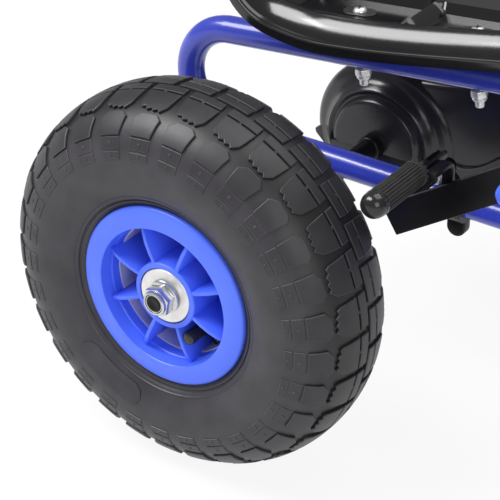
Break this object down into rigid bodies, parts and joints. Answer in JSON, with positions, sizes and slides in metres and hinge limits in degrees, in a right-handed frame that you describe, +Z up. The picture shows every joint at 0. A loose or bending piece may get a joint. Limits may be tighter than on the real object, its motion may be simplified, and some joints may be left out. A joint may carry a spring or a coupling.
{
  "type": "pedal go kart",
  "caption": "Low pedal go kart with a bent tube frame, pneumatic tyres on spoked rims, chain drive in a guard, bucket seat, steering wheel and a hand brake beside the seat.",
  "frame": {"origin": "centre of the kart's footprint on the ground", "axes": "+X forwards, +Y to the rider's left, +Z up"},
  "size_m": [1.14, 0.568, 0.5846],
  "materials": {
    "blue_paint": "gloss",
    "blue_plastic": "gloss",
    "tyre": "matte",
    "rubber": "matte",
    "zinc": "satin",
    "steel": "satin",
    "black_paint": "satin",
    "black_plastic": "gloss",
    "dark_plastic": "matte"
  },
  "bodies": {
    "frame": {"rail_right": "blue_paint", "rail_left": "blue_paint", "seat_cross_tube": "blue_paint", "front_beam": "blue_paint", "front_bumper": "blue_paint", "nose_tube": "blue_paint", "column_foot": "blue_paint", "axle_brackets": "blue_paint", "crank_brackets": "blue_paint", "column_bushes": "dark_plastic", "axle_bearings": "steel", "crank_bushes": "dark_plastic", "guard_right": "black_plastic", "guard_left": "black_plastic", "guard_screws": "zinc", "guard_bracket": "dark_plastic", "chain": "steel", "seat": "black_plastic", "seat_bolts": "zinc", "seat_nuts": "zinc", "king_pins": "zinc", "brake_bracket": "black_paint"},
    "rear_axle": {"rear_axle": "zinc", "axle_sleeve": "dark_plastic", "wheel_spacers": "dark_plastic", "rear_sprocket": "steel", "rear_tyre_right": "tyre", "rear_tyre_left": "tyre", "rear_rim_right": "blue_plastic", "rear_rim_left": "blue_plastic", "rear_valves": "rubber", "rear_washers": "zinc", "rear_nuts": "zinc"},
    "knuckle_right": {"knuckle_right": "steel", "front_nut_right": "zinc"},
    "knuckle_left": {"knuckle_left": "steel", "front_nut_left": "zinc"},
    "front_wheel_right": {"front_tyre_right": "tyre", "front_rim_right": "blue_plastic", "front_valve_right": "rubber", "front_washer_right": "zinc"},
    "front_wheel_left": {"front_tyre_left": "tyre", "front_rim_left": "blue_plastic", "front_valve_left": "rubber", "front_washer_left": "zinc"},
    "track_rod": {"track_rod": "steel"},
    "steering": {"steering_column": "black_paint", "steering_wheel": "dark_plastic", "wheel_cap": "dark_plastic"},
    "crank": {"crank": "zinc", "chainring": "steel"},
    "pedal_right": {"pedal_right": "dark_plastic"},
    "pedal_left": {"pedal_left": "dark_plastic"},
    "brake": {"brake_lever": "black_paint", "brake_strap": "black_paint", "brake_sleeve": "rubber", "brake_nuts": "zinc", "brake_cap": "blue_plastic", "hand_grip": "rubber"}
  },
  "joints": [
    {"name": "rear_axle_spin", "type": "hinge", "parent": "frame", "child": "rear_axle", "pos_m": [-0.44, 0, 0.13], "axis": [0, 1, 0], "continuous": true},
    {"name": "crank_spin", "type": "hinge", "parent": "frame", "child": "crank", "pos_m": [0.12, 0, 0.2], "axis": [0, 1, 0], "continuous": true},
    {"name": "pedal_right_spin", "type": "hinge", "parent": "crank", "child": "pedal_right", "pos_m": [0.225, -0.116, 0.2], "axis": [0, 1, 0], "continuous": true},
    {"name": "pedal_left_spin", "type": "hinge", "parent": "crank", "child": "pedal_left", "pos_m": [0.015, 0.116, 0.2], "axis": [0, 1, 0], "continuous": true},
    {"name": "steering", "type": "hinge", "parent": "frame", "child": "steering", "pos_m": [0.29865, 0, 0.15406], "axis": [-0.6691, 0, 0.7431], "range_deg": [-40, 40]},
    {"name": "knuckle_right", "type": "hinge", "parent": "frame", "child": "knuckle_right", "pos_m": [0.38, -0.183, 0.1365], "axis": [0, 0, 1], "range_deg": [-23.35, 23.35]},
    {"name": "knuckle_left", "type": "hinge", "parent": "frame", "child": "knuckle_left", "pos_m": [0.38, 0.183, 0.1365], "axis": [0, 0, 1], "range_deg": [-23.35, 23.35]},
    {"name": "track_rod", "type": "hinge", "parent": "knuckle_right", "child": "track_rod", "pos_m": [0.315, -0.183, 0.105], "axis": [0, 0, 1], "range_deg": [-23.35, 23.35]},
    {"name": "front_wheel_right_spin", "type": "hinge", "parent": "knuckle_right", "child": "front_wheel_right", "pos_m": [0.38, -0.239, 0.13], "axis": [0, 1, 0], "continuous": true},
    {"name": "front_wheel_left_spin", "type": "hinge", "parent": "knuckle_left", "child": "front_wheel_left", "pos_m": [0.38, 0.239, 0.13], "axis": [0, 1, 0], "continuous": true},
    {"name": "brake_pull", "type": "hinge", "parent": "frame", "child": "brake", "pos_m": [-0.34, -0.162, 0.176], "axis": [0, -1, 0], "range_deg": [0, 27]}
  ],
  "couplings": [
    {"joint": "crank_spin", "follows": "rear_axle_spin", "ratio": 0.66667},
    {"joint": "knuckle_right", "follows": "steering", "ratio": 0.5825},
    {"joint": "knuckle_left", "follows": "steering", "ratio": 0.5825},
    {"joint": "track_rod", "follows": "steering", "ratio": -0.5825}
  ]
}
